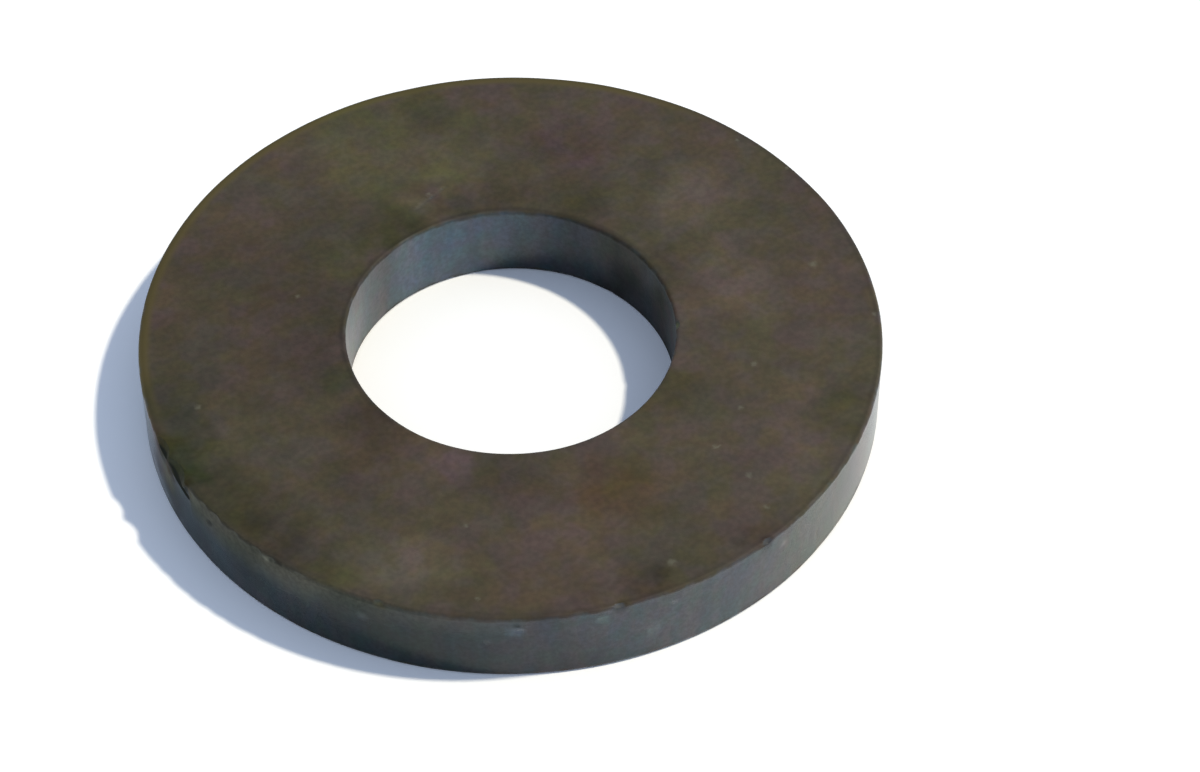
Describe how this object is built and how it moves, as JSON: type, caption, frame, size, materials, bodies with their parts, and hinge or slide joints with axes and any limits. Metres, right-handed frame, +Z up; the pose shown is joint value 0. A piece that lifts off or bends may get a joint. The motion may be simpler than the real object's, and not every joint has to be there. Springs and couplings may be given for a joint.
{
  "type": "ring magnet",
  "caption": "Flat ring magnet of dark sintered ferrite, with ground faces, a plain central bore and a chipped upper arris.",
  "frame": {"origin": "on the bore's axis at the lower ground face", "axes": "+Z up along the bore's axis; the ring is round, so +X and +Y are fixed only by its wear: the long flake in the upper arris lies at about 153 degrees clockwise from +X seen from above"},
  "size_m": [0.072, 0.072, 0.0082],
  "materials": {
    "ferrite": "matt ground faces, brown-grey; bluer grey as-sintered skin on the rim and in the bore"
  },
  "bodies": {
    "root": {"ring_magnet": "ferrite"}
  },
  "joints": []
}
